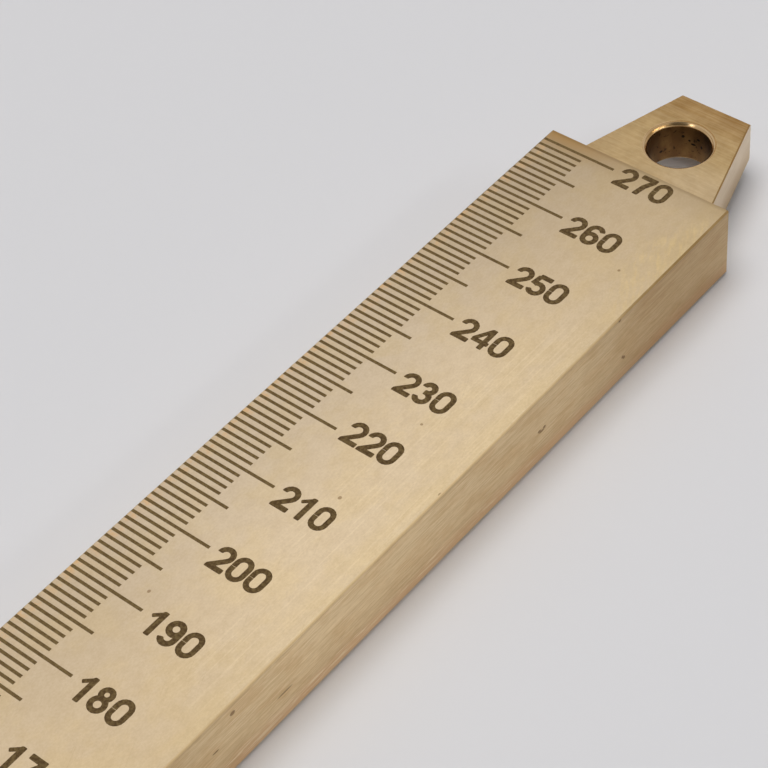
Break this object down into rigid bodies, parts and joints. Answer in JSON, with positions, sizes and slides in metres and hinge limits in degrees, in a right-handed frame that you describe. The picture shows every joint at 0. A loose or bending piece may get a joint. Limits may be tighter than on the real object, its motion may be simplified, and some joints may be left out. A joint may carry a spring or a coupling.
{
  "type": "dipstick",
  "caption": "Solid brass dipstick bar, graduated in millimetres along one edge, with a tapered hanging lug and eye at its upper end.",
  "frame": {"origin": "middle of the flat zero end of the bar, where the scale reads 0", "axes": "+Y runs along the bar from the zero end to the lug, so that Y is the scale's reading; +Z is the outward normal of the graduated face; +X runs across the face, away from the graduated edge"},
  "size_m": [0.025, 0.288, 0.01],
  "materials": {
    "brass": "satin ground brass, lightly tarnished, with broken edges",
    "mark_filling": "dark brown matt filling in engraved marks"
  },
  "bodies": {
    "root": {"bar": "brass", "millimetre_marks": "mark_filling", "five_millimetre_marks": "mark_filling", "ten_millimetre_marks": "mark_filling"}
  },
  "joints": []
}
